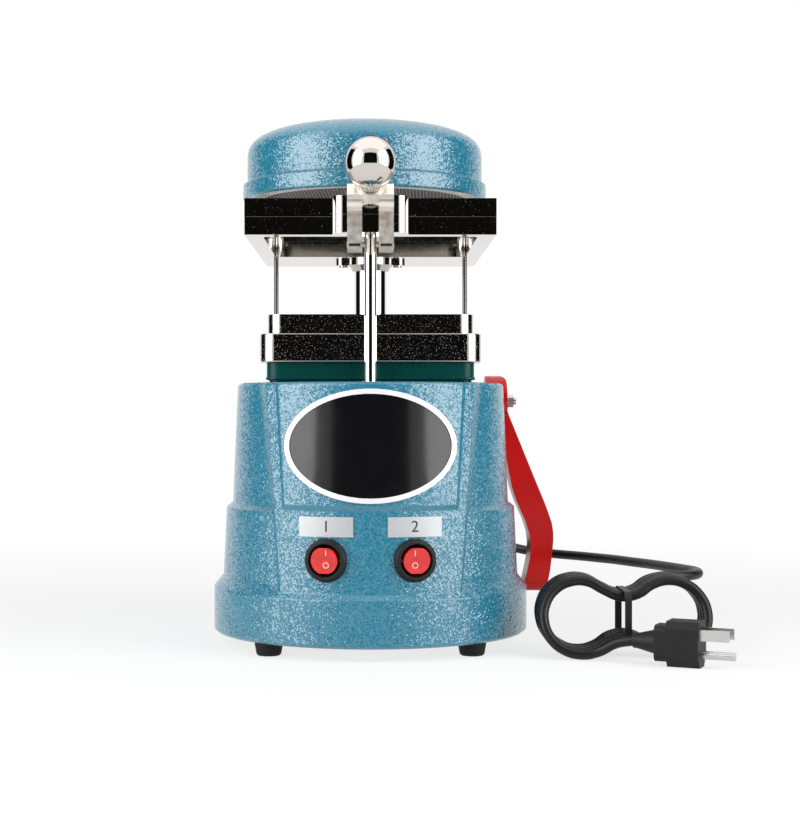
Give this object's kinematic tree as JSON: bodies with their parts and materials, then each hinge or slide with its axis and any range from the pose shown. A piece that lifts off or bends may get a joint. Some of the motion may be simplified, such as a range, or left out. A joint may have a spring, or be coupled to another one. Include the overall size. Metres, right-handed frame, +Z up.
{
  "type": "dental vacuum former",
  "caption": "Bench vacuum former for dental sheets: cast base with motor, side lift lever, perforated table, clamped film frame and a swivelling heating head.",
  "frame": {"origin": "on the floor straight below the centre of the vacuum table", "axes": "+Z up, -Y towards the front with the badge and switches, +X towards the side with the lever"},
  "size_m": [0.3079, 0.2661, 0.3275],
  "materials": {
    "hammered_paint": "hammertone gloss",
    "zinc_sheet": "satin",
    "zinc": "bright",
    "rubber": "matte",
    "black_enamel": "gloss",
    "silver_trim": "bright",
    "label_white": "satin",
    "black_plastic": "satin",
    "red_lens": "translucent gloss",
    "red_enamel": "gloss",
    "steel": "machined",
    "brass": "machined",
    "nickel": "polished nickel",
    "green_rubber": "satin",
    "chrome": "polished",
    "cast_metal": "cast",
    "motor_shell": "satin",
    "ceramic": "matte ceramic",
    "heater_wire": "dull",
    "wire_mesh": "dull",
    "red_plastic": "gloss",
    "knob_alloy": "knurled",
    "knob_polish": "polished",
    "cord_black": "satin"
  },
  "bodies": {
    "base": {"base_housing": "hammered_paint", "bottom_plate": "zinc_sheet", "bottom_screws": "zinc", "rubber_feet": "rubber", "badge_plate": "black_enamel", "badge_rim": "silver_trim", "label_left": "label_white", "label_right": "label_white", "bezel_left": "black_plastic", "bezel_right": "black_plastic", "shaft_bracket": "steel", "shaft_bushes": "brass", "post_guide": "cast_metal", "vacuum_pipe": "zinc_sheet", "vacuum_motor": "motor_shell", "motor_mount": "rubber", "rear_column": "chrome", "front_rod": "chrome", "rear_rods": "steel", "lower_frame": "nickel", "upper_frame": "nickel", "hinge_pins": "steel", "column_flange": "nickel", "flange_screws": "zinc", "head_stop": "nickel", "cord_relief": "cord_black", "mains_cord": "cord_black", "cord_hank": "cord_black", "cord_tail": "cord_black", "cord_tie": "cord_black", "plug_body": "cord_black", "plug_pins": "zinc"},
    "lever": {"lift_lever": "red_enamel", "lever_shaft": "steel", "lever_nut": "zinc", "sector_gear": "steel"},
    "table": {"table_base": "nickel", "table_top": "nickel", "table_seal": "green_rubber", "lift_post": "chrome", "lift_rack": "steel"},
    "clamp": {"clamp_yoke": "nickel", "clamp_pin": "steel"},
    "clamp_end": {"clamp_tip": "steel"},
    "clamp_knob": {"clamp_screw": "knob_alloy", "ball_knob": "knob_polish"},
    "head": {"heater_dome": "hammered_paint", "head_arm": "hammered_paint", "head_ring": "zinc_sheet", "heater_plate": "ceramic", "heating_coil": "heater_wire", "guard_mesh": "wire_mesh", "star_knob": "red_plastic"},
    "switch_left": {"rocker_left": "red_lens"},
    "switch_right": {"rocker_right": "red_lens"}
  },
  "joints": [
    {"name": "lever_swing", "type": "hinge", "parent": "base", "child": "lever", "pos_m": [0, 0.038, 0.153], "axis": [-1, 0, 0], "range_deg": [0, 110.2]},
    {"name": "table_lift", "type": "slide", "parent": "base", "child": "table", "axis": [0, 0, 1], "range_m": [0, 0.0577]},
    {"name": "head_swivel", "type": "hinge", "parent": "base", "child": "head", "pos_m": [0, 0.103, 0.28], "axis": [0, 0, 1], "range_deg": [-90, 90]},
    {"name": "clamp_swing", "type": "hinge", "parent": "base", "child": "clamp", "pos_m": [0, -0.072, 0.2455], "axis": [1, 0, 0], "range_deg": [0, 80]},
    {"name": "clamp_advance", "type": "slide", "parent": "clamp", "child": "clamp_end", "axis": [0, -0.766, 0.6428], "range_m": [0, 0.0031]},
    {"name": "clamp_turn", "type": "hinge", "parent": "clamp_end", "child": "clamp_knob", "pos_m": [0, -0.0865, 0.268], "axis": [0, -0.766, 0.6428], "range_deg": [0, 720]},
    {"name": "left_switch", "type": "hinge", "parent": "base", "child": "switch_left", "pos_m": [-0.02574, -0.09157, 0.0593], "axis": [-0.9627, 0.2706, 0], "range_deg": [0, 14]},
    {"name": "right_switch", "type": "hinge", "parent": "base", "child": "switch_right", "pos_m": [0.02574, -0.09157, 0.0593], "axis": [-0.9627, -0.2706, 0], "range_deg": [0, 14]}
  ],
  "couplings": [
    {"joint": "lever_swing", "follows": "table_lift", "rad_per_m": 33.333},
    {"joint": "clamp_advance", "follows": "clamp_turn", "m_per_rad": 0.00023873}
  ]
}
